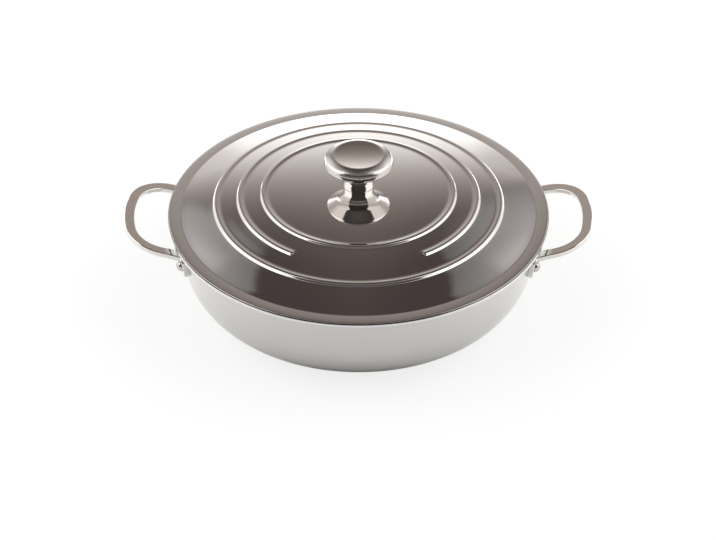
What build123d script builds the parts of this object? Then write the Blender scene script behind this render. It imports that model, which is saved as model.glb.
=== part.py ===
from build123d import *
import os
from math import asin, atan2, cos, degrees, hypot, radians, sin, sqrt, tan

# A low, two-handled braiser with a domed lid, standing on its base.
# X runs from handle to handle, -Y is the front and Z is up from the table, in millimetres.

# Pan: a deep-drawn bowl of bonded three-layer sheet
pan_radius = 150.0
pan_height = 79.0
wall_lean = 9.0
corner_radius = 46.0
flare_radius = 6.5
outer_skin = 0.5
core = 1.7
inner_skin = 0.5
edge_round = 0.3

# Handles: a cast loop with a riveted pad at each foot
handle_reach = 41.3
handle_half_width = 46.4
handle_corner = 30.0
handle_bow = 108.0
handle_rise = 13.0
handle_drop = 13.05
strap_width = 8.3
strap_thickness = 4.9
strap_edge = 0.7
strap_belly = 1.7
root_width = 10.6
root_depth = 5.7
root_reach = 8.0
root_edge = 1.6
pad_width = 15.5
pad_above = 10.4
pad_below = 9.8
pad_thickness = 4.0
pad_corner = 5.0
pad_edge = 0.9

# Rivets: one through each foot
rivet_drop = 22.3
rivet_shank = 3.2
rivet_head = 5.0
rivet_dome = 3.8
rivet_inner_head = 6.0
rivet_inner_dome = 1.5
rivet_brim = 0.4

# Lid: pressed sheet with a flat rim, a folded locating lip and raised rings
lid_gap = 0.3
lid_sheet = 1.0
lip_reveal = 0.8
band_fall = 0.35
lid_edge = 0.3
lip_depth = 6.5
lip_thickness = 1.9
lip_clearance = 0.9
lip_round_share = 0.45
dome_rise = 23.85
dome_blend = 2.5
seat_radius = 13.5
ring_radius = 117.9
ring_pitch = 19.6
ring_count = 3
ring_width = 5.0
ring_height = 0.9
ring_blend = 1.1
plain_front = 66.0

# Knob: a turned mushroom, threaded from below
neck_radius = 12.6
neck_height = 4.8
neck_chamfer = 0.6
head_radius = 28.3
throat_round = 14.0
throat_turn = 60.0
head_under_share = 0.9965
head_under_height = 21.9
head_wide_height = 23.2
head_edge_share = 0.989
head_edge_height = 25.5
shoulder_share = 0.954
shoulder_height = 27.2
knob_height = 29.9
dish_radius = 21.0
dish_depth = 1.9
bore_depth = 13.0

# Knob fixing: machine screw, lock washer and flat washer under the lid
screw_radius = 2.5
screw_length = 14.0
screw_head_radius = 4.75
screw_head_height = 3.2
head_round_share = 0.5
screw_slack = 0.2
recess_width = 1.2
recess_span = 5.2
recess_depth = 1.8
washer_radius = 7.5
washer_thickness = 1.2
lock_radius = 4.6
lock_thickness = 1.3
lock_slot = 1.6

overrun = 2.0
touching = 0.01

# Heights and radii that follow from the sizes above
lean = radians(wall_lean)
wall = outer_skin + core + inner_skin
corner_top = corner_radius * (1 - sin(lean))
base_radius = (
    pan_radius
    + wall / cos(lean)
    - corner_radius * cos(lean)
    - (pan_height - corner_top) * tan(lean)
)
flare_z = pan_height - wall - flare_radius


def wall_radius(z, depth=0):
    # Radius of the straight wall at a height, a depth in from the outside.
    return pan_radius + (wall - depth) / cos(lean) - (pan_height - z) * tan(lean)


flare_x = wall_radius(flare_z) + flare_radius / cos(lean)

lid_bottom = pan_height + lid_gap
lid_top = lid_bottom + lid_sheet
lid_radius = flare_x - lip_reveal
lip_bottom = lid_bottom - lip_depth
lip_outer = wall_radius(lip_bottom, wall) - lip_clearance
lip_inner = lip_outer - lip_thickness
dome_edge = lip_outer - lip_thickness / 2
seat_z = lid_top + dome_rise
dome_centre = (seat_radius**2 - dome_edge**2 + seat_z**2 - lid_top**2) / (
    2 * (seat_z - lid_top)
)
dome_radius = hypot(seat_radius, seat_z - dome_centre)


def sheet_face(depth):
    # One face of the pan's sheet, from the axis to the lip's edge, a depth in from the outside.
    floor = Line((0, depth), (base_radius, depth))
    bend = JernArc(floor @ 1, floor % 1, corner_radius - depth, 90 - wall_lean)
    reach = flare_radius + depth
    side = Line(bend @ 1, (flare_x - reach * cos(lean), flare_z + reach * sin(lean)))
    lip = JernArc(side @ 1, side % 1, reach, wall_lean - 90)
    return lip @ 1


def foot_plane(side, end):
    # On the outside of the wall at a handle's foot: Z out along the rivet, Y up the wall.
    z = pan_height - rivet_drop
    radius = wall_radius(z)
    turn = atan2(end * handle_half_width, side * sqrt(radius**2 - handle_half_width**2))
    return Plane(
        origin=(radius * cos(turn), radius * sin(turn), z),
        x_dir=(-sin(turn), cos(turn), 0),
        z_dir=(cos(turn) * cos(lean), sin(turn) * cos(lean), -sin(lean)),
    )


feet = {
    "left_front": foot_plane(-1, -1),
    "left_rear": foot_plane(-1, 1),
    "right_front": foot_plane(1, -1),
    "right_rear": foot_plane(1, 1),
}


def make_layer(depth, thickness):
    # One layer of the pan's sheet, pierced by the four rivets.
    with BuildPart() as layer:
        with BuildSketch(Plane.XZ):
            with BuildLine():
                outside = sheet_face(depth)
                inside = sheet_face(depth + thickness)
                Line((0, depth), (0, depth + thickness))
                Line(outside, inside)
            make_face()
        revolve(axis=Axis.Z)
        for foot in feet.values():
            with BuildSketch(foot.offset(-wall - overrun)):
                Circle(rivet_shank)
            extrude(amount=wall + 2 * overrun, mode=Mode.SUBTRACT)
    return layer


def lip_edges(layer):
    # The sharp edges of a layer at the end of the pouring lip, lowest first.
    rings = layer.edges().filter_by(GeomType.CIRCLE)
    return rings.filter_by(lambda edge: edge.radius > flare_x - edge_round).sort_by(Axis.Z)


pan_outer_skin = make_layer(0, outer_skin)
with pan_outer_skin:
    fillet(lip_edges(pan_outer_skin)[0], min(edge_round, outer_skin / 2))

pan_aluminium_core = make_layer(outer_skin, core)

pan_inner_skin = make_layer(outer_skin + core, inner_skin)
with pan_inner_skin:
    fillet(lip_edges(pan_inner_skin)[-1], min(edge_round, inner_skin / 2))

# The pan's outside filled solid, to shape what is seated on the wall.
with BuildPart() as pan_form:
    with BuildSketch(Plane.XZ):
        with BuildLine():
            rim = sheet_face(0)
            Polyline(rim, (rim.X, pan_height), (0, pan_height), (0, 0))
        make_face()
    revolve(axis=Axis.Z)


def loop_plane(side):
    # In the middle of the strap, tilted up outwards, with its origin over the rim of the pan.
    rise = radians(handle_rise)
    return Plane(
        origin=(side * pan_radius, 0, pan_height - handle_drop),
        x_dir=(side * cos(rise), 0, sin(rise)),
        z_dir=(-side * sin(rise), 0, cos(rise)),
    )


def strap_plane(side, end, along):
    # Across a leg of the loop, some way out from the origin of its plane: Y is up.
    level = loop_plane(side)
    return Plane(
        origin=level.from_local_coords((along, end * handle_half_width, 0)),
        x_dir=-level.y_dir,
        z_dir=-level.x_dir,
    )


def make_handle(side):
    level = loop_plane(side)
    bow_angle = degrees(
        asin((handle_half_width - handle_corner) / (handle_bow - handle_corner))
    )
    bend_x = (
        handle_reach - handle_bow + (handle_bow - handle_corner) * cos(radians(bow_angle))
    )
    # The legs run on into the wall, which trims them at the end.
    inside_wall = wall_radius(pan_height - handle_drop, wall)
    far_side = handle_half_width + root_width / 2
    leg_end = (sqrt(inside_wall**2 - far_side**2) - pan_radius) / cos(radians(handle_rise))

    with BuildPart() as handle:
        for end in (-1, 1):
            foot = foot_plane(side, end)
            with BuildSketch(foot.offset(-wall)):
                with Locations((0, (pad_above - pad_below) / 2)):
                    RectangleRounded(pad_width, pad_above + pad_below, pad_corner)
            pad = extrude(amount=wall + pad_thickness)
            fillet(pad.faces().sort_by(Axis(foot.origin, foot.z_dir))[-1].edges(), pad_edge)

        with BuildLine(level) as loop:
            leg = Line((leg_end, -handle_half_width), (bend_x, -handle_half_width))
            bend = JernArc(leg @ 1, leg % 1, handle_corner, 90 - bow_angle)
            bow = JernArc(bend @ 1, bend % 1, handle_bow, 2 * bow_angle)
            bend = JernArc(bow @ 1, bow % 1, handle_corner, 90 - bow_angle)
            Line(bend @ 1, (leg_end, handle_half_width))
        path = loop.wire()
        with BuildSketch(Plane(origin=path @ 0, x_dir=level.y_dir, z_dir=path % 0)) as strap:
            Rectangle(strap_width, strap_thickness)
            fillet(strap.vertices().sort_by(Axis.Y)[2:], strap_edge)
            fillet(strap.vertices().sort_by(Axis.Y)[:2], strap_belly)
        sweep(path=path)

        for end in (-1, 1):
            with BuildSketch(strap_plane(side, end, root_reach)) as slim:
                Rectangle(strap_width, strap_thickness)
                fillet(slim.vertices().sort_by(Axis.Y)[2:], strap_edge)
                fillet(slim.vertices().sort_by(Axis.Y)[:2], strap_belly)
            with BuildSketch(strap_plane(side, end, leg_end)) as stout:
                with Locations((0, (strap_thickness - root_depth) / 2)):
                    Rectangle(root_width, root_depth)
                fillet(stout.vertices().sort_by(Axis.Y)[2:], root_edge)
                fillet(stout.vertices().sort_by(Axis.Y)[:2], strap_belly)
            loft()

        add(pan_form, mode=Mode.SUBTRACT)
        for end in (-1, 1):
            with BuildSketch(foot_plane(side, end).offset(-overrun)):
                Circle(rivet_shank)
            extrude(amount=pad_thickness + 2 * overrun, mode=Mode.SUBTRACT)
    return handle


left_handle = make_handle(-1)
right_handle = make_handle(1)


def make_rivet(foot):
    # Domed outside on the pad, the shank filling its hole, a lower head inside the pan.
    across = Plane(foot.origin, x_dir=foot.x_dir, z_dir=-foot.y_dir)
    with BuildPart() as rivet:
        with BuildSketch(across):
            with BuildLine():
                inner = TangentArc(
                    (0, -wall - rivet_inner_dome),
                    (rivet_inner_head, -wall - rivet_brim),
                    tangent=(1, 0),
                )
                outer = TangentArc(
                    (0, pad_thickness + rivet_dome),
                    (rivet_head, pad_thickness + rivet_brim),
                    tangent=(1, 0),
                )
                Polyline(
                    inner @ 1,
                    (rivet_inner_head, -wall),
                    (rivet_shank, -wall),
                    (rivet_shank, pad_thickness),
                    (rivet_head, pad_thickness),
                    outer @ 1,
                )
                Line(outer @ 0, inner @ 0)
            make_face()
        revolve(axis=Axis(foot.origin, foot.z_dir))
        add(pan_inner_skin, mode=Mode.SUBTRACT)
    return rivet


rivets = {f"{name}_rivet": make_rivet(foot) for name, foot in feet.items()}


def on_dome(x, inset=0):
    # A point of the dome's section at a radius, an inset down from its outside.
    return (x, dome_centre + sqrt((dome_radius - inset) ** 2 - x**2))


def ring_centre(index):
    # Centre of the round of a raised ring, counted from the outermost.
    ring_x = ring_radius - index * ring_pitch
    crest = dome_radius + ring_height
    distance = crest - ring_round
    return (distance * ring_x / crest, dome_centre + distance * sqrt(1 - (ring_x / crest) ** 2))


def meridian(azimuth):
    # An upright plane through the axis, X outwards.
    turn = radians(azimuth)
    return Plane(
        (0, 0, 0), x_dir=(cos(turn), sin(turn), 0), z_dir=(sin(turn), -cos(turn), 0)
    )


ring_round = (ring_width**2 / 4 + ring_height**2) / (2 * ring_height)
broken_ring = 1
full_rings = [ring_centre(index) for index in range(ring_count) if index != broken_ring]
broken_x, broken_z = ring_centre(broken_ring)
first_azimuth = -90 + plain_front / 2
ring_ends = [
    (broken_x * cos(turn), broken_x * sin(turn), broken_z)
    for turn in (radians(first_azimuth), radians(-180 - first_azimuth))
]

with BuildPart() as lid_shell:
    # The outside first, still filled underneath.
    with BuildSketch(Plane.XZ):
        with BuildLine():
            rim = Polyline(
                (0, lip_bottom),
                (lip_outer, lip_bottom),
                (lip_outer, lid_bottom),
                (lid_radius, lid_bottom),
                (lid_radius, lid_top - band_fall),
            )
            band = TangentArc(on_dome(dome_edge), rim @ 1, tangent=(1, 0))
            dome = ThreePointArc(
                band @ 0, on_dome((dome_edge + seat_radius) / 2), on_dome(seat_radius)
            )
            Polyline(dome @ 1, (0, seat_z), (0, lip_bottom))
        make_face()
        with Locations(*full_rings):
            Circle(ring_round)
    revolve(axis=Axis.Z)
    with BuildSketch(meridian(first_azimuth)):
        with Locations((broken_x, broken_z)):
            Circle(ring_round)
    revolve(axis=Axis.Z, revolution_arc=360 - plain_front)
    with Locations(*ring_ends):
        Sphere(ring_round)

    # Soft flanks where the rings rise from the dome.
    middle = Vector(0, 0, dome_centre)
    flanks = lid_shell.edges().filter_by(
        lambda edge: abs((edge @ 0.5 - middle).length - dome_radius) < touching
        and seat_radius + touching < hypot((edge @ 0.5).X, (edge @ 0.5).Y) < dome_edge - touching
    )
    fillet(flanks, ring_blend)
    creases = lid_shell.edges().filter_by(GeomType.CIRCLE)
    creases = creases.filter_by(lambda edge: abs(edge.radius - dome_edge) < touching)
    fillet(creases, dome_blend)

    # Then the hollow, a sheet's thickness inside.
    hollow_round = ring_round - lid_sheet
    under_seat = seat_z - lid_sheet
    under_radius = sqrt((dome_radius - lid_sheet) ** 2 - (under_seat - dome_centre) ** 2)
    with BuildSketch(Plane.XZ):
        with BuildLine():
            skirt = Polyline(
                (0, lip_bottom), (lip_inner, lip_bottom), on_dome(lip_inner, lid_sheet)
            )
            dome = ThreePointArc(
                skirt @ 1,
                on_dome((lip_inner + under_radius) / 2, lid_sheet),
                on_dome(under_radius, lid_sheet),
            )
            Polyline(dome @ 1, (0, under_seat), (0, lip_bottom))
        make_face()
        with Locations(*full_rings):
            Circle(hollow_round)
    revolve(axis=Axis.Z, mode=Mode.SUBTRACT)
    with BuildSketch(meridian(first_azimuth)):
        with Locations((broken_x, broken_z)):
            Circle(hollow_round)
    revolve(axis=Axis.Z, revolution_arc=360 - plain_front, mode=Mode.SUBTRACT)
    with Locations(*ring_ends):
        Sphere(hollow_round, mode=Mode.SUBTRACT)

    rings = lid_shell.edges().filter_by(GeomType.CIRCLE)
    fillet(rings.filter_by(lambda edge: edge.radius > lid_radius - touching), lid_edge)
    fillet(lid_shell.faces().sort_by(Axis.Z)[0].edges(), lip_thickness * lip_round_share)
    with Locations((0, 0, under_seat)):
        Hole(screw_radius + screw_slack)

with BuildPart() as lid_knob:
    with BuildSketch(Plane.XZ):
        with BuildLine():
            foot = Polyline(
                (0, seat_z),
                (neck_radius - neck_chamfer, seat_z),
                (neck_radius, seat_z + neck_chamfer),
                (neck_radius, seat_z + neck_height),
            )
            throat = JernArc(foot @ 1, foot % 1, throat_round, -throat_turn)
            cone = Line(
                throat @ 1, (head_radius * head_under_share, seat_z + head_under_height)
            )
            brim = ThreePointArc(
                cone @ 1,
                (head_radius, seat_z + head_wide_height),
                (head_radius * head_edge_share, seat_z + head_edge_height),
            )
            edge = TangentArc(
                brim @ 1,
                (head_radius * shoulder_share, seat_z + shoulder_height),
                tangent=brim % 1,
            )
            shoulder = TangentArc(edge @ 1, (dish_radius, seat_z + knob_height), tangent=edge % 1)
            dish = TangentArc(
                (0, seat_z + knob_height - dish_depth), shoulder @ 1, tangent=(1, 0)
            )
            Line(dish @ 0, foot @ 0)
        make_face()
    revolve(axis=Axis.Z)
    with BuildSketch(Plane.XY.offset(seat_z)):
        Circle(screw_radius)
    extrude(amount=bore_depth, mode=Mode.SUBTRACT)

lock_top = under_seat - washer_thickness
head_top = lock_top - lock_thickness

with BuildPart() as knob_screw:
    with BuildSketch(Plane.XY.offset(head_top)):
        Circle(screw_head_radius)
    head = extrude(amount=-screw_head_height)
    fillet(head.faces().sort_by(Axis.Z)[0].edges(), screw_head_height * head_round_share)
    with BuildSketch(Plane.XY.offset(head_top)):
        Circle(screw_radius)
    extrude(amount=screw_length)
    with BuildSketch(Plane.XY.offset(head_top - screw_head_height)):
        Rectangle(recess_span, recess_width)
        Rectangle(recess_width, recess_span)
    extrude(amount=recess_depth, mode=Mode.SUBTRACT)

with BuildPart() as knob_washer:
    with BuildSketch(Plane.XY.offset(lock_top)):
        Circle(washer_radius)
        Circle(screw_radius + screw_slack, mode=Mode.SUBTRACT)
    extrude(amount=washer_thickness)

with BuildPart() as knob_lock_washer:
    with BuildSketch(Plane.XY.offset(head_top)):
        Circle(lock_radius)
        Circle(screw_radius + screw_slack, mode=Mode.SUBTRACT)
        with Locations((0, lock_radius)):
            Rectangle(lock_slot, 2 * (lock_radius - screw_radius), mode=Mode.SUBTRACT)
    extrude(amount=lock_thickness)

finished = {
    "pan_outer_skin": pan_outer_skin,
    "pan_aluminium_core": pan_aluminium_core,
    "pan_inner_skin": pan_inner_skin,
    "left_handle": left_handle,
    "right_handle": right_handle,
    **rivets,
    "lid_shell": lid_shell,
    "lid_knob": lid_knob,
    "knob_screw": knob_screw,
    "knob_lock_washer": knob_lock_washer,
    "knob_washer": knob_washer,
}

os.makedirs("parts", exist_ok=True)
for name, piece in finished.items():
    piece.part.label = name
    export_step(piece.part, f"parts/{name}.step")
    print(name, round(piece.part.volume), piece.part.is_valid)
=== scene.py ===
import bpy
import math
from mathutils import Matrix, Vector


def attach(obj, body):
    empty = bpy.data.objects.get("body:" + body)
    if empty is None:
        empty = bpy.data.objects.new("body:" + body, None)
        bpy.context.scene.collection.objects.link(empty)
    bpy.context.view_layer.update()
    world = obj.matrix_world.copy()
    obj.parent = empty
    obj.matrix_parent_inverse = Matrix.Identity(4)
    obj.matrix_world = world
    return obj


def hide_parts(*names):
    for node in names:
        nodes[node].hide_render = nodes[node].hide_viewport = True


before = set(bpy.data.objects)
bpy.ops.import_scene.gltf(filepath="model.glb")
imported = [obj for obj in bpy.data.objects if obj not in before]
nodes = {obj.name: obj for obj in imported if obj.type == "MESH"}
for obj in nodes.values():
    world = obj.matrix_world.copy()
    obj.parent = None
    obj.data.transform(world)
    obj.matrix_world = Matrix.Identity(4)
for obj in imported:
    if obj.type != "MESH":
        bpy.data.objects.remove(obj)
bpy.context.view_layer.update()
mm = 0.001
degrees = 180 / math.pi
print("pan and lid loaded:", len(nodes), "nodes")


# shader maths written as plain expressions

class Value:
    def __init__(self, tree, socket):
        self.tree = tree
        self.socket = socket

    def join(self, operation, *terms):
        node = self.tree.nodes.new("ShaderNodeMath")
        node.operation = operation
        for slot, term in zip(node.inputs, terms):
            if isinstance(term, Value):
                self.tree.links.new(term.socket, slot)
            else:
                slot.default_value = term
        return Value(self.tree, node.outputs[0])

    def math(self, operation, *others):
        return self.join(operation, self, *others)

    def __add__(self, other): return self.join("ADD", self, other)
    def __radd__(self, other): return self.join("ADD", other, self)
    def __sub__(self, other): return self.join("SUBTRACT", self, other)
    def __rsub__(self, other): return self.join("SUBTRACT", other, self)
    def __mul__(self, other): return self.join("MULTIPLY", self, other)
    def __rmul__(self, other): return self.join("MULTIPLY", other, self)
    def __truediv__(self, other): return self.join("DIVIDE", self, other)


class Nodes:
    def __init__(self, tree):
        self.tree = tree
        tree.nodes.clear()

    def add(self, kind, settings=None, **inputs):
        # settings go first, since they decide which sockets there are; an input is named, or numbered as _2
        node = self.tree.nodes.new(kind)
        for name, value in (settings or {}).items():
            setattr(node, name, value)
        for name, value in inputs.items():
            slot = node.inputs[int(name[1:])] if name[1:].isdigit() else node.inputs[name.replace("_", " ")]
            if isinstance(value, Value):
                self.tree.links.new(value.socket, slot)
            else:
                slot.default_value = value
        return node

    def out(self, node, name=0):
        return Value(self.tree, node.outputs[name])

    def step(self, value, low, high, fromValue=0.0, toValue=1.0):
        # a smooth change from one value to another between two limits
        node = self.add("ShaderNodeMapRange", {"interpolation_type": "SMOOTHSTEP"},
                        Value=value, From_Min=low, From_Max=high, To_Min=fromValue, To_Max=toValue)
        return self.out(node)

    def fall(self, value, low, high, fromValue=1.0):
        return self.step(value, low, high, fromValue, 0.0)

    def mixColour(self, share, first, second):
        first, second = ((*colour, 1) if isinstance(colour, tuple) else colour for colour in (first, second))
        return self.out(self.add("ShaderNodeMix", {"data_type": "RGBA"}, _0=share, _6=first, _7=second), 2)

    def scaleColour(self, colour, share):
        return self.out(self.add("ShaderNodeVectorMath", {"operation": "SCALE"}, Vector=colour, Scale=share))

    def mixShader(self, share, first, second):
        return self.out(self.add("ShaderNodeMixShader", _0=share, _1=first, _2=second))

    def glow(self, colour, strength=1.0):
        return self.out(self.add("ShaderNodeEmission", Color=(*colour, 1), Strength=strength))

    def apart(self, vector):
        node = self.add("ShaderNodeSeparateXYZ", Vector=vector)
        return [self.out(node, axis) for axis in range(3)]

    def place(self):
        # where a point is on the piece, in metres
        return self.out(self.add("ShaderNodeTexCoord"), "Object")

    def noise(self, where, scale, detail=2.0, roughness=0.5, stretch=(1, 1, 1)):
        moved = self.out(self.add("ShaderNodeMapping", Vector=where, Scale=stretch))
        return self.out(self.add("ShaderNodeTexNoise", Vector=moved, Scale=scale, Detail=detail, Roughness=roughness))

    def brushed(self, x, y, along, lines, wander=5.0, detail=3.0, roughness=0.6, hair=0.0001):
        # fine lines that run round the middle, packed along the section; the hair keeps the middle from zero
        radius = distance(x, y) + hair
        where = self.add("ShaderNodeCombineXYZ", X=x / radius * wander, Y=y / radius * wander, Z=along * lines)
        return self.noise(self.out(where), 1.0, detail, roughness)


def distance(x, y):
    return (x * x + y * y).math("SQRT")


def sideAngle(x, y):
    # degrees to either side of straight back
    return x.math("ABSOLUTE").math("ARCTAN2", y) * degrees


def newMaterial(name):
    material = bpy.data.materials.new(name)
    material.use_nodes = True
    return material, Nodes(material.node_tree)


# camera, level with the photograph

cameraView = {"place": (-0.0003, -1.6603, 1.2284), "down": 36.11, "roll": 0.12, "lens": 122.3, "sensor": 36,
              "farthest": 60}

camera = bpy.data.objects.new("camera", bpy.data.cameras.new("camera"))
bpy.context.scene.collection.objects.link(camera)
camera.location = cameraView["place"]
aim = Matrix.Rotation(math.radians(90 - cameraView["down"]), 3, "X")
camera.rotation_euler = (aim @ Matrix.Rotation(math.radians(cameraView["roll"]), 3, "Z")).to_euler()
camera.data.lens = cameraView["lens"]
camera.data.sensor_width = cameraView["sensor"]
camera.data.clip_end = cameraView["farthest"]
bpy.context.scene.camera = camera
bpy.context.scene.view_settings.view_transform = "Standard"
print("camera set")


# studio: a white sweep behind that fades to a dark ceiling, a pale card and a soft box on each side
# sides and heights are in degrees, from straight back and above the horizon, and reaches in metres

sweep = {
    # each colour of the light fades with height, by the degrees that it reaches, to what is left overhead
    "white": (1.82, 1.82, 1.79), "reach": (25.4, 24.6, 24.1), "bend": 1.5, "dark": (0.085, 0.065, 0.064),
    "lowSides": (7, 15), "lowest": 15.0,
    "climb": 0.0278, "rightClimb": 0.012, "rightFrom": (0.0, 0.06),
}
card = {
    "level": (0.56, 0.17), "levelHeights": (25, 63),
    "tint": (1.05, 1.0, 0.985), "middle": 30, "growth": 0.05,
    "patch": 0.42, "patchSides": (29, 36), "patchTop": (45, 50),
    "edge": (22.5, 26), "rightShift": 4, "upperEdge": (32.4, 35.4), "upperSlope": 0.67,
    "lowColour": (1.32, 1.30, 1.28), "lowEdge": (33, 42), "lowTop": (20, 27),
}
front = {
    "dark": (0.08, 0.066, 0.062), "sides": (60, 80),
    "overhead": (0.22, 0.205, 0.20), "overheadFrom": (44, 72),
    "card": (0.30, 0.288, 0.28), "cardSides": (122, 134), "cardTop": (8, 15),
}
softBox = {
    "colour": (2.4, 2.36, 2.3), "foot": 0.55, "footTop": (14, 34),
    "backEdge": (53, 57), "backLean": 26, "backHeights": (26, 74),
    "frontEdge": (116, 122), "frontLean": 6, "frontHeights": (20, 40), "cut": 28, "cutHeights": (44, 54),
    "upperEdge": (24, 28), "upperSlope": 0.5,
}
table = {
    "size": 16, "colour": (0.86, 0.86, 0.855),
    "glow": 0.48, "glowSides": (75, 178), "farWhite": 1.6, "farReach": (0.4, 0.7), "farSides": (50, 62),
    "white": 1.065, "nearShare": 0.76, "shadowReach": (0.18, 0.40),
    "endReach": (0.45, 0.75), "endSides": (112, 122),
    "grey": (0.66, 0.64, 0.62), "greyFrom": (7, 14), "greyTo": (27, 31), "rightShift": 7, "rightFrom": (0.0, 0.3),
}
lampLight = {"power": 14.5, "size": 2.4, "height": 2.0}


def makeWorld():
    world = bpy.data.worlds.new("studio")
    bpy.context.scene.world = world
    world.use_nodes = True
    n = Nodes(world.node_tree)
    x, y, z = n.apart(n.out(n.add("ShaderNodeTexCoord"), "Generated"))
    height = z.math("ARCSINE") * degrees
    side = sideAngle(x, y)
    right = n.step(x, *sweep["rightFrom"])

    # the sweep is white low down in the middle, and fades sooner towards the sides, most to the right
    low = n.step(side, *sweep["lowSides"]) * sweep["lowest"]
    climb = height.math("MAXIMUM", low) + side * side * (right * sweep["rightClimb"] + sweep["climb"])
    faded = [((climb / reach).math("POWER", sweep["bend"]) * -1).math("EXPONENT") * white + dark
             for white, reach, dark in zip(sweep["white"], sweep["reach"], sweep["dark"])]
    colour = n.out(n.add("ShaderNodeCombineXYZ", X=faded[0], Y=faded[1], Z=faded[2]))

    # a tall card on each side of it, brighter lower down, with a clear upper edge and a white foot
    pale = n.scaleColour(card["tint"], n.step(height, *card["levelHeights"], *card["level"]))
    patch = n.step(side, *card["patchSides"]) * n.fall(height, *card["patchTop"], card["patch"])
    pale = n.scaleColour(pale, 1 + (side - card["middle"]) * card["growth"] + patch)
    edge = side + right * card["rightShift"]
    inCard = n.step(edge, *card["edge"]) * n.fall(height - edge * card["upperSlope"], *card["upperEdge"])
    colour = n.mixColour(inCard, colour, pale)
    colour = n.mixColour(n.step(side, *card["lowEdge"]) * n.fall(height, *card["lowTop"]), colour, card["lowColour"])

    # the front is dark, paler overhead, with a low grey card
    room = n.mixColour(n.step(height, *front["overheadFrom"]), front["dark"], front["overhead"])
    room = n.mixColour(n.step(side, *front["cardSides"]) * n.fall(height, *front["cardTop"]), room, front["card"])
    colour = n.mixColour(n.step(side, *front["sides"]), colour, room)

    # a leaning soft box on each side of the table
    back = side - n.step(height, *softBox["backHeights"]) * softBox["backLean"]
    fore = side - n.step(height, *softBox["frontHeights"]) * softBox["frontLean"]
    fore = fore + n.step(height, *softBox["cutHeights"]) * softBox["cut"]
    inBox = n.step(back, *softBox["backEdge"]) * n.fall(fore, *softBox["frontEdge"])
    inBox = inBox * n.fall(height - side * softBox["upperSlope"], *softBox["upperEdge"])
    box = n.scaleColour(softBox["colour"], n.step(height, *softBox["footTop"], softBox["foot"], 1.0))
    colour = n.mixColour(inBox, colour, box)

    light = n.out(n.add("ShaderNodeBackground", Color=colour, Strength=1.0))
    white = n.out(n.add("ShaderNodeBackground", Color=(1, 1, 1, 1), Strength=1.0))
    seen = n.out(n.add("ShaderNodeLightPath"), "Is Camera Ray")
    n.add("ShaderNodeOutputWorld", Surface=n.mixShader(seen, light, white))


def makeFloor():
    bpy.ops.object.select_all(action="DESELECT")
    bpy.ops.mesh.primitive_plane_add(size=table["size"])
    floor = bpy.context.object
    floor.name = "floor"
    material, n = newMaterial("white floor")
    x, y = n.apart(n.place())[:2]
    reach, side, right = distance(x, y), sideAngle(x, y), n.step(x, *table["rightFrom"])
    path = n.add("ShaderNodeLightPath")
    camera, glossy = n.out(path, "Is Camera Ray"), n.out(path, "Is Glossy Ray")

    # polished metal sees the table paler at the sides, and white where it runs back into the sweep
    glow = n.fall(side, *table["glowSides"], table["glow"])
    glow = glow + n.step(reach, *table["farReach"]) * n.fall(side, *table["farSides"], table["farWhite"])
    matt = n.out(n.add("ShaderNodeBsdfDiffuse", Color=(*table["colour"], 1)))
    lit = n.out(n.add("ShaderNodeAddShader", _0=matt, _1=n.glow((1, 1, 1), glossy * glow)))

    # near the pan the table keeps its shadow, further off it runs out into white
    share = n.step(reach, *table["shadowReach"], table["nearShare"], 1.0)
    seen = n.mixShader(camera * share, lit, n.glow((1, 1, 1), table["white"]))

    # far off in front the table ends, and polished metal sees the dark room
    beyond = glossy * n.step(reach, *table["endReach"]) * n.step(side, *table["endSides"])
    seen = n.mixShader(beyond, seen, n.glow(front["dark"]))

    # behind, it is greyer on both sides of the middle, as low down in the sweep
    greyer = glossy * n.step(side, *table["greyFrom"]) * n.fall(side + right * table["rightShift"], *table["greyTo"])
    seen = n.mixShader(greyer, seen, n.glow(table["grey"]))
    n.add("ShaderNodeOutputMaterial", Surface=seen)
    floor.data.materials.append(material)


def makeLamp():
    # a wide soft light overhead that brightens the table and isn't seen in the metal
    bpy.ops.object.light_add(type="AREA", location=(0, 0, lampLight["height"]))
    lamp = bpy.context.object
    lamp.name = "table light"
    lamp.data.shape = "SQUARE"
    lamp.data.size = lampLight["size"]
    lamp.data.energy = lampLight["power"]
    lamp.visible_camera = False
    lamp.visible_glossy = False


makeWorld()
makeFloor()
makeLamp()
print("studio made")


# turned and spun shapes: a section drawn in front of the middle, then spun round it

def arcTo(start, heading, end, steps):
    # points after the start, on the arc that leaves it along a heading in degrees and meets the end
    across, up = end[0] - start[0], end[1] - start[1]
    turn = math.remainder(math.atan2(up, across) - math.radians(heading), 2 * math.pi)
    if abs(turn) < 1e-6:
        return lineTo(start, end, steps)
    radius = math.hypot(across, up) / (2 * math.sin(turn))
    angle = math.radians(heading) + math.pi / 2
    middle = (start[0] + radius * math.cos(angle), start[1] + radius * math.sin(angle))
    points = []
    for i in range(1, steps + 1):
        now = angle + math.pi + 2 * turn * i / steps
        points.append((middle[0] + radius * math.cos(now), middle[1] + radius * math.sin(now)))
    return points


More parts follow.
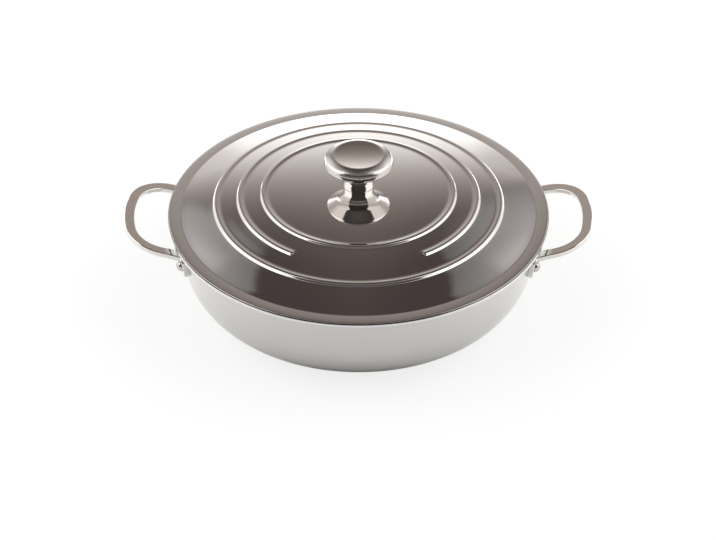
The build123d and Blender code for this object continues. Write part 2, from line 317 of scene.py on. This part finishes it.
def arcThrough(start, between, end, steps):
    # points after the start, on the arc through three points
    (ax, ay), (bx, by), (cx, cy) = start, between, end
    scale = 2 * (ax * (by - cy) + bx * (cy - ay) + cx * (ay - by))
    aa, bb, cc = ax * ax + ay * ay, bx * bx + by * by, cx * cx + cy * cy
    middle = ((aa * (by - cy) + bb * (cy - ay) + cc * (ay - by)) / scale,
              (aa * (cx - bx) + bb * (ax - cx) + cc * (bx - ax)) / scale)
    first = math.atan2(ay - middle[1], ax - middle[0])
    turn = math.remainder(math.atan2(cy - middle[1], cx - middle[0]) - first, 2 * math.pi)
    radius = math.hypot(ax - middle[0], ay - middle[1])
    return [(middle[0] + radius * math.cos(first + turn * i / steps),
             middle[1] + radius * math.sin(first + turn * i / steps)) for i in range(1, steps + 1)]


def headingAtEnd(start, between, end):
    # heading in degrees at the end of the arc through three points
    before, last = arcThrough(start, between, end, steps=400)[-2:]
    return math.degrees(math.atan2(last[1] - before[1], last[0] - before[0]))


def lineTo(start, end, steps):
    return [(start[0] + (end[0] - start[0]) * i / steps, start[1] + (end[1] - start[1]) * i / steps)
            for i in range(1, steps + 1)]


def spinSection(name, points, turns, sharp):
    # the section is extruded point by point from a merged plane, then spun in one or more turns
    bpy.ops.object.select_all(action="DESELECT")
    bpy.ops.mesh.primitive_plane_add(size=mm)
    piece = bpy.context.object
    piece.name = piece.data.name = name
    bpy.ops.object.mode_set(mode="EDIT")
    bpy.ops.mesh.select_all(action="SELECT")
    bpy.ops.mesh.merge(type="CENTER")
    bpy.ops.transform.translate(value=(0, -points[0][0] * mm, points[0][1] * mm))
    for (fromRadius, fromHeight), (toRadius, toHeight) in zip(points, points[1:]):
        shift = (0, (fromRadius - toRadius) * mm, (toHeight - fromHeight) * mm)
        bpy.ops.mesh.extrude_region_move(TRANSFORM_OT_translate={"value": shift})
    bpy.ops.mesh.select_all(action="SELECT")
    for steps, angle in turns:
        bpy.ops.mesh.spin(steps=steps, angle=math.radians(angle), center=(0, 0, 0), axis=(0, 0, 1),
                          use_auto_merge=False)
    bpy.ops.mesh.select_all(action="SELECT")
    bpy.ops.mesh.remove_doubles(threshold=0.001 * mm)
    bpy.ops.mesh.normals_make_consistent(inside=False)
    bpy.ops.object.mode_set(mode="OBJECT")
    bpy.ops.object.shade_smooth_by_angle(angle=math.radians(sharp))
    print(name, "spun:", len(piece.data.vertices), "points")
    return piece


# lid: a pressed dome with a flat band, a locating lip and three raised rings, the middle one open in front

lid = {
    "holeRadius": 2.7, "seatRadius": 13.5, "seatHeight": 104.15, "sheet": 1.0,
    "topHeight": 80.3, "bottomHeight": 79.3, "radius": 157.0576, "edgeRound": 0.3,
    "bandFall": 0.329, "edgeHeading": -4,
    "crease": 147.168, "creaseBlend": 2.5, "plain": 5,
    "lipOuter": 148.118, "lipInner": 146.218, "lipBottom": 72.8, "lipRound": 0.85,
    "rings": (117.9, 98.3, 78.7), "openRing": 1, "openHalf": 33.0,
    "ringHeight": 1.0, "crestOuter": 3.2, "tiltOuter": 36.0, "crestInner": 5.0, "tiltInner": 22.0,
    # where the section has points, from each ring's crest and between rings
    "fineOffsets": [-5.2 + 0.33 * i for i in range(10)] + [-1.9 + 0.23 * i for i in range(23)], "fineGap": 4.5,
    "coarseOffsets": [-5.0, -3.6, -2.5, -1.6, -0.8, 0.0, 0.8, 1.6, 2.4, 3.1], "coarseGap": 9.0,
    # degrees of each step of the spin, finer round the ends of the open ring
    "coarseStep": 1.2, "fineStep": 0.2, "fineFrom": 29.6, "fineTo": 33.2,
    "sharp": 40,
}
rise = lid["seatHeight"] - lid["topHeight"]
lid["centre"] = (lid["seatRadius"] ** 2 - lid["crease"] ** 2
                 + lid["seatHeight"] ** 2 - lid["topHeight"] ** 2) / (2 * rise)
lid["domeRadius"] = math.hypot(lid["seatRadius"], lid["seatHeight"] - lid["centre"])


def domePoint(length, inset=0.0):
    # a point of the dome's section, a length from the middle along its outside
    angle = length / lid["domeRadius"]
    radius = lid["domeRadius"] - inset
    return radius * math.sin(angle), lid["centre"] + radius * math.cos(angle)


def domeLength(radius, inset=0.0):
    return math.asin(radius / (lid["domeRadius"] - inset)) * lid["domeRadius"]


def ridge(away, outward):
    # share of a ring's height at a distance from its crest: steeper outwards than inwards
    height = lid["ringHeight"]
    sides = []
    for crest, tilt in ((lid["crestOuter"], lid["tiltOuter"]), (lid["crestInner"], lid["tiltInner"])):
        lean = math.radians(tilt)
        foot = height / (1 - math.cos(lean)) - crest
        shoulder, end = crest * math.sin(lean), (crest + foot) * math.sin(lean)
        if away < shoulder:
            sides.append(height - crest + math.sqrt(crest ** 2 - away ** 2))
        elif away < end:
            sides.append(foot - math.sqrt(foot ** 2 - (end - away) ** 2))
        else:
            sides.append(0.0)
    share = (1 + outward) / 2
    return (sides[0] * share + sides[1] * (1 - share)) / height


def spread(first, last, widest):
    # even steps from just after the first length up to the last, none much wider than the widest
    gaps = max(1, round((last - first) / widest))
    return [first + (last - first) * i / gaps for i in range(1, gaps + 1)]


def domeLengths(first, last, offsets, widest):
    # where the section has points: close together over each ring, further apart between
    lengths = [first]
    for radius in sorted(lid["rings"]):
        crest = domeLength(radius)
        lengths += spread(lengths[-1], crest + offsets[0], widest)[:-1]
        lengths += [crest + offset for offset in offsets]
    return lengths + spread(lengths[-1], last, widest)


def lidSection():
    slope = math.asin(lid["crease"] / lid["domeRadius"])
    back = lid["creaseBlend"] * math.tan(slope / 2)
    first, last = domeLength(lid["seatRadius"]), domeLength(lid["crease"]) - back
    points = [(lid["holeRadius"], lid["seatHeight"])]
    points += [domePoint(length) for length in domeLengths(first, last, lid["fineOffsets"], lid["fineGap"])]
    # the crease, then the band, which falls a little to its rounded edge
    bandStart = (lid["crease"] + back, lid["topHeight"])
    points += arcTo(points[-1], -math.degrees(slope), bandStart, steps=4)
    edge, top, bottom = lid["edgeRound"], lid["topHeight"] - lid["bandFall"], lid["bottomHeight"]
    points += arcTo(bandStart, 0, (lid["radius"] - edge, top), steps=5)
    points += arcTo(points[-1], lid["edgeHeading"], (lid["radius"], points[-1][1] - edge), steps=4)
    points += arcTo((lid["radius"], bottom + edge), -90, (lid["radius"] - edge, bottom), steps=3)
    # the underside and the lip that keeps the lid in place
    ease, foot = lid["lipRound"], lid["lipBottom"]
    points += [(lid["lipOuter"], bottom), (lid["lipOuter"], foot + ease)]
    points += arcTo(points[-1], -90, (lid["lipOuter"] - ease, foot), steps=5)
    points.append((lid["lipInner"] + ease, foot))
    points += arcTo(points[-1], 180, (lid["lipInner"], foot + ease), steps=5)
    # the hollow under the dome, back to the hole
    first, last = (domeLength(lid[name], lid["sheet"]) for name in ("seatRadius", "lipInner"))
    inner = domeLengths(first, last, lid["coarseOffsets"], lid["coarseGap"])
    points += [domePoint(length, lid["sheet"]) for length in reversed(inner)]
    points += [(lid["holeRadius"], lid["seatHeight"] - lid["sheet"]), points[0]]
    return points


def ringWeight(radius, length, turn):
    # how far a point of the dome is raised, as a share of a ring's height
    weight = 0.0
    gap = math.radians(lid["openHalf"])
    for index, ringRadius in enumerate(lid["rings"]):
        beside = length - domeLength(ringRadius)
        if index == lid["openRing"] and turn < gap:
            # past the end of the open ring, round its end
            away = math.hypot(beside, radius * (gap - turn))
            weight += ridge(away, beside / away if away else 0)
        else:
            weight += ridge(abs(beside), 1 if beside > 0 else -1)
    return min(weight, 1.0)


def raiseRings(piece):
    # the rings are pushed up from the dome by weight, on both faces of the sheet
    outside = piece.vertex_groups.new(name="ringsOutside")
    inside = piece.vertex_groups.new(name="ringsInside")
    centre = Vector((0, 0, lid["centre"] * mm))
    middleFace = (lid["domeRadius"] - lid["sheet"] / 2) * mm
    for vertex in piece.data.vertices:
        spot = vertex.co
        radius = math.hypot(spot.x, spot.y) / mm
        if radius > lid["crease"] - lid["plain"] or radius < lid["seatRadius"]:
            continue
        out = spot - centre
        length = math.atan2(radius, out.z / mm) * lid["domeRadius"]
        weight = ringWeight(radius, length, abs(math.atan2(spot.x, -spot.y)))
        if weight > 0:
            group = outside if out.length > middleFace else inside
            group.add([vertex.index], weight, "REPLACE")
    for group, push in ((outside, 1), (inside, -1)):
        bpy.ops.object.modifier_add(type="DISPLACE")
        modifier = piece.modifiers[-1]
        modifier.direction = "NORMAL"
        modifier.mid_level = 0
        modifier.strength = push * lid["ringHeight"] * mm
        modifier.vertex_group = group.name
    for modifier in list(piece.modifiers):
        bpy.ops.object.modifier_apply(modifier=modifier.name)
    piece.vertex_groups.clear()


def makeLid():
    frontPart = (round(lid["fineFrom"] / lid["coarseStep"]), lid["fineFrom"])
    window = lid["fineTo"] - lid["fineFrom"]
    ringEnd = (round(window / lid["fineStep"]), window)
    rest = 360 - 2 * lid["fineTo"]
    turns = [frontPart, ringEnd, (round(rest / lid["coarseStep"]), rest), ringEnd, frontPart]
    piece = spinSection("lid_dome", lidSection(), turns, lid["sharp"])
    raiseRings(piece)
    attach(piece, "lid")
    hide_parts("lid_shell")
    return piece


lidPiece = makeLid()
print("lid made")


# knob: a turned mushroom with a trumpet neck, an upright brim and a dished top

knob = {
    "seat": 104.15, "neckRadius": 12.6, "neckHeight": 4.8, "neckChamfer": 0.6,
    "throatRound": 14.0, "throatTurn": 60.0,
    "under": (28.201, 21.9), "wide": (28.3, 23.2), "brimTop": (27.989, 25.5), "shoulder": (26.998, 27.2),
    "height": 29.9, "dishRadius": 21.0, "dishDepth": 1.9, "dishEdgeFall": 14.0,
    "boreRadius": 2.5, "boreDepth": 13.0,
    "steps": 180, "sharp": 28,
}


def knobSection():
    seat, neck, bore = knob["seat"], knob["neckRadius"], knob["boreRadius"]
    under, wide, brimTop, shoulder = (
        (knob[name][0], seat + knob[name][1]) for name in ("under", "wide", "brimTop", "shoulder"))
    # from the middle of the dish outwards, then down to the neck and up the bore
    dishEdge = (knob["dishRadius"], seat + knob["height"])
    points = [(0.0, dishEdge[1] - knob["dishDepth"])]
    points += arcTo(points[0], 0, dishEdge, steps=16)
    brim = [under] + arcThrough(under, wide, brimTop, steps=8)
    brim += arcTo(brim[-1], headingAtEnd(under, wide, brimTop), shoulder, steps=5)
    # the shoulder still falls outwards at the edge of the dish, which keeps that edge crisp
    points += arcTo(dishEdge, -knob["dishEdgeFall"], shoulder, steps=10)
    points += brim[-2::-1]
    neckTop = (neck, seat + knob["neckHeight"])
    turn = math.radians(knob["throatTurn"])
    throatEnd = (neck + knob["throatRound"] * (1 - math.cos(turn)),
                 neckTop[1] + knob["throatRound"] * math.sin(turn))
    points += lineTo(points[-1], throatEnd, steps=8)
    throat = [neckTop] + arcTo(neckTop, 90, throatEnd, steps=18)
    points += throat[-2::-1]
    points += lineTo(points[-1], (neck, seat + knob["neckChamfer"]), steps=3)
    boreTop = seat + knob["boreDepth"]
    points += [(neck - knob["neckChamfer"], seat), (bore, seat), (bore, boreTop), (0.0, boreTop)]
    return points


def makeKnob():
    piece = spinSection("turned_knob", knobSection(), [(knob["steps"], 360)], knob["sharp"])
    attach(piece, "lid")
    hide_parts("lid_knob")
    return piece


knobPiece = makeKnob()
print("knob made")


# steels: each finish as the real one, from mirror to brushed
# lines are packed per metre of section, and grain is how far they change the roughness
# blotch, fine, haze, pits and grainScale are noise scales, and blotchRough and its like how far they change it

steels = {
    "outside": {"colour": (0.665, 0.665, 0.655), "rough": 0.24, "lines": 2600, "grain": 0.05, "blotch": 24.0,
                "blotchRough": 0.03, "lineTone": 0.4, "bump": 0.03, "lipRough": 0.07, "lip": (0.0688, 0.0712)},
    "core": {"colour": (0.78, 0.79, 0.80), "rough": 0.34, "lines": 9000, "grain": 0.15, "bump": 0.1},
    "inside": {"colour": (0.62, 0.61, 0.60), "rough": 0.27, "lines": 2200, "wander": 3.0, "grain": 0.16,
               "blotch": 18.0, "blotchRough": 0.06, "lineTone": 0.7, "bump": 0.08, "lip": (0.073, 0.075)},
    "handle": {"colour": (0.69, 0.672, 0.655), "rough": 0.09, "blotch": 60.0, "blotchRough": 0.04, "bump": 0.7,
               "faceColour": (0.70, 0.65, 0.595), "faceRough": 0.30, "faceUp": (0.9, 0.95), "faceBlend": 0.0004,
               "grainScale": 900.0, "grainRough": 0.2, "grainStretch": (1.0, 1.0, 0.4), "grainDepth": 0.25,
               "grainTone": 0.5,
               "knuckle": 0.1536, "knuckleSlant": 0.318, "middle": 0.0464, "pits": 620.0, "pitDepth": 6,
               # the crease is a narrow band of painted shade: its colour is scaled down by the last value
               "crease": (0.00036, 0.0009), "creasePaintedShade": 0.12},
    "rivet": {"colour": (0.52, 0.51, 0.49), "rough": 0.11, "fine": 700.0, "fineRough": 0.05, "blotch": 150.0,
              "bump": 0.03},
    "lid": {"colour": (0.655, 0.637, 0.626), "rough": 0.055, "haze": 260.0, "hazeRough": 0.012, "blotch": 14.0,
            "blotchTone": 0.5, "lines": 5200, "wander": 9.0, "lineTone": 0.6, "bump": 0.05,
            "band": (0.1471, 0.1477), "bandRough": 0.2, "bandGrain": 0.1,
            "inside": (0.7, 0.5), "insideRough": 0.16, "insideGrain": 0.12},
    "knob": {"colour": (0.645, 0.62, 0.598), "rough": 0.08, "lines": 4200, "wander": 7.0, "grain": 0.03,
             "blotch": 90.0, "lineTone": 0.6, "bump": 0.05, "plainDepth": 0.3, "head": (22.5, 24.5), "headRough": 0.19,
             "dishEdge": (-0.1, 0.3), "dishFrom": (26.6, 27.6), "dishRough": 0.14, "dishGrain": 0.08},
    "fixing": {"colour": (0.6, 0.6, 0.6), "rough": 0.28, "lines": 7000, "wander": 3.0, "grain": 0.16,
               "fine": 1400.0, "bump": 0.12},
}
shared = {"darkest": 0.965, "toneSpread": 0.065, "bumpReach": 0.0001}


def metal(made, look, tone, rough, bump, colour=None, shade=None):
    # one metal surface from its maps: tone and roughness vary over the piece
    material, n = made
    shader = n.add("ShaderNodeBsdfPrincipled", Metallic=1.0, Roughness=rough)
    tinted = n.scaleColour(colour or look["colour"], tone * shared["toneSpread"] + shared["darkest"])
    # where a shade is given, it scales the colour down: painted shade
    if shade:
        tinted = n.scaleColour(tinted, shade)
    n.tree.links.new(tinted.socket, shader.inputs["Base Color"])
    relief = n.add("ShaderNodeBump", Strength=look["bump"], Distance=shared["bumpReach"], Height=bump)
    n.tree.links.new(n.out(relief).socket, shader.inputs["Normal"])
    n.add("ShaderNodeOutputMaterial", Surface=n.out(shader))
    return material


def blend(share, first, second):
    # the first value where the share is 0, the second where it is 1
    return first * (1 - share) + share * second


def vary(middle, *changes):
    # a value that differs over the piece, each change being a noise between 0 and 1 and how far it reaches
    for noise, reach in changes:
        middle = middle + (noise - 0.5) * reach
    return middle


def outsideSteel():
    made = newMaterial("satin outside steel")
    n, look = made[1], steels["outside"]
    where = n.place()
    x, y, z = n.apart(where)
    lines = n.brushed(x, y, z, look["lines"])
    blotch = n.noise(where, look["blotch"])
    polished = n.step(z, *look["lip"])
    rough = vary(look["rough"], (lines, look["grain"]), (blotch, look["blotchRough"]))
    rough = blend(polished, rough, look["lipRough"])
    return metal(made, look, blend(look["lineTone"], blotch, lines), rough, lines * (1 - polished))


def coreMetal():
    made = newMaterial("rolled aluminium")
    n, look = made[1], steels["core"]
    x, y, z = n.apart(n.place())
    lines = n.brushed(x, y, z + distance(x, y), look["lines"])
    return metal(made, look, lines, vary(look["rough"], (lines, look["grain"])), lines)


def insideSteel():
    made = newMaterial("circular brushed inside steel")
    n, look = made[1], steels["inside"]
    where = n.place()
    x, y, z = n.apart(where)
    lines = n.brushed(x, y, z + distance(x, y), look["lines"], look["wander"])
    blotch = n.noise(where, look["blotch"], detail=3.0)
    polished = n.step(z, *look["lip"])
    rough = vary(look["rough"], (lines, look["grain"]), (blotch, look["blotchRough"]))
    rough = blend(polished, rough, steels["outside"]["lipRough"])
    return metal(made, look, blend(look["lineTone"], blotch, lines), rough, lines * (1 - polished))


def handleSteel():
    made = newMaterial("cast handle steel")
    n, look = made[1], steels["handle"]
    where = n.place()
    x, y = n.apart(where)[:2]
    up = n.apart(n.out(n.add("ShaderNodeTexCoord"), "Normal"))[2]
    # the flat top face keeps a satin grain that runs along the casting, the rest is polished
    along = x.math("ABSOLUTE") + (y.math("ABSOLUTE") - look["middle"]) * look["knuckleSlant"]
    top = n.step(up, *look["faceUp"])
    face = top * n.step(along, look["knuckle"], look["knuckle"] + look["faceBlend"])
    # the face ends in a slanted crease whose colour is darkened as painted shade, and the knuckle behind it is bright
    # and uneven
    crease = top * n.fall((along - look["knuckle"]).math("ABSOLUTE"), *look["crease"])
    knuckle = top * n.fall(along, look["knuckle"] - look["faceBlend"], look["knuckle"])
    grain = n.noise(where, look["grainScale"], detail=3.0, roughness=0.6, stretch=look["grainStretch"])
    blotch = n.noise(where, look["blotch"])
    pits = n.noise(where, look["pits"], roughness=0.7)
    rough = vary(look["rough"], (blotch, look["blotchRough"]))
    rough = blend(face, rough, vary(look["faceRough"], (grain, look["grainRough"])))
    relief = grain * face * look["grainDepth"] + pits * knuckle * look["pitDepth"]
    colour = n.mixColour(face, look["colour"], look["faceColour"])
    return metal(made, look, blend(look["grainTone"], blotch, grain), rough, relief, colour,
                 shade=1 - crease * (1 - look["creasePaintedShade"]))


def rivetSteel():
    made = newMaterial("polished rivet steel")
    n, look = made[1], steels["rivet"]
    where = n.place()
    fine = n.noise(where, look["fine"])
    blotch = n.noise(where, look["blotch"])
    return metal(made, look, blotch, vary(look["rough"], (fine, look["fineRough"])), blotch)


def lidSteel():
    made = newMaterial("mirror lid steel")
    n, look = made[1], steels["lid"]
    where = n.place()
    x, y, z = n.apart(where)
    radius = distance(x, y)
    depth = distance(radius, z - lid["centre"] * mm)
    lines = n.brushed(x, y, radius, look["lines"], look["wander"])
    # satin on the band and under the dome, a mirror on top
    band = n.step(radius, *look["band"])
    hollow = n.fall(depth, *((lid["domeRadius"] - below) * mm for below in look["inside"])) * (1 - band)
    blotch = n.noise(where, look["blotch"])
    haze = n.noise(where, look["haze"], detail=3.0)
    rough = vary(look["rough"], (haze, look["hazeRough"]))
    rough = blend(band, rough, vary(look["bandRough"], (lines, look["bandGrain"])))
    rough = rough + hollow * vary(look["insideRough"], (lines, look["insideGrain"]))
    tone = vary(0.5, (blotch, look["blotchTone"]), (lines, (band + hollow) * look["lineTone"]))
    return metal(made, look, tone, rough, lines * (band + hollow))


def knobSteel():
    made = newMaterial("turned knob steel")
    n, look = made[1], steels["knob"]
    where = n.place()
    x, y, z = n.apart(where)
    radius = distance(x, y)
    lines = n.brushed(x, y, radius - z, look["lines"], look["wander"])
    blotch = n.noise(where, look["blotch"])
    # polished neck, satin head, and a finer dish inside its edge
    head, dishFrom = ([(knob["seat"] + level) * mm for level in look[name]] for name in ("head", "dishFrom"))
    dishEdge = [(knob["dishRadius"] + beyond) * mm for beyond in look["dishEdge"]]
    dish = n.fall(radius, *dishEdge) * n.step(z, *dishFrom)
    rough = vary(blend(n.step(z, *head), look["rough"], look["headRough"]), (lines, look["grain"]))
    rough = blend(dish, rough, vary(look["dishRough"], (lines, look["dishGrain"])))
    return metal(made, look, blend(look["lineTone"], blotch, lines), rough, lines * blend(dish, look["plainDepth"], 1))


def fixingSteel():
    made = newMaterial("plain screw steel")
    n, look = made[1], steels["fixing"]
    where = n.place()
    x, y, z = n.apart(where)
    fine = n.noise(where, look["fine"], detail=3.0, roughness=0.6)
    lines = n.brushed(x, y, distance(x, y) + z, look["lines"], look["wander"])
    return metal(made, look, fine, vary(look["rough"], (lines, look["grain"])), lines)


finishes = (
    (outsideSteel(), ("pan_outer_skin",)),
    (coreMetal(), ("pan_aluminium_core",)),
    (insideSteel(), ("pan_inner_skin",)),
    (handleSteel(), ("left_handle", "right_handle")),
    (rivetSteel(), ("left_front_rivet", "left_rear_rivet", "right_front_rivet", "right_rear_rivet")),
    (fixingSteel(), ("knob_screw", "knob_lock_washer", "knob_washer")),
)
for material, names in finishes:
    for name in names:
        for slot in nodes[name].material_slots:
            slot.material = material
lidPiece.data.materials.append(lidSteel())
knobPiece.data.materials.append(knobSteel())
print("steels dressed")
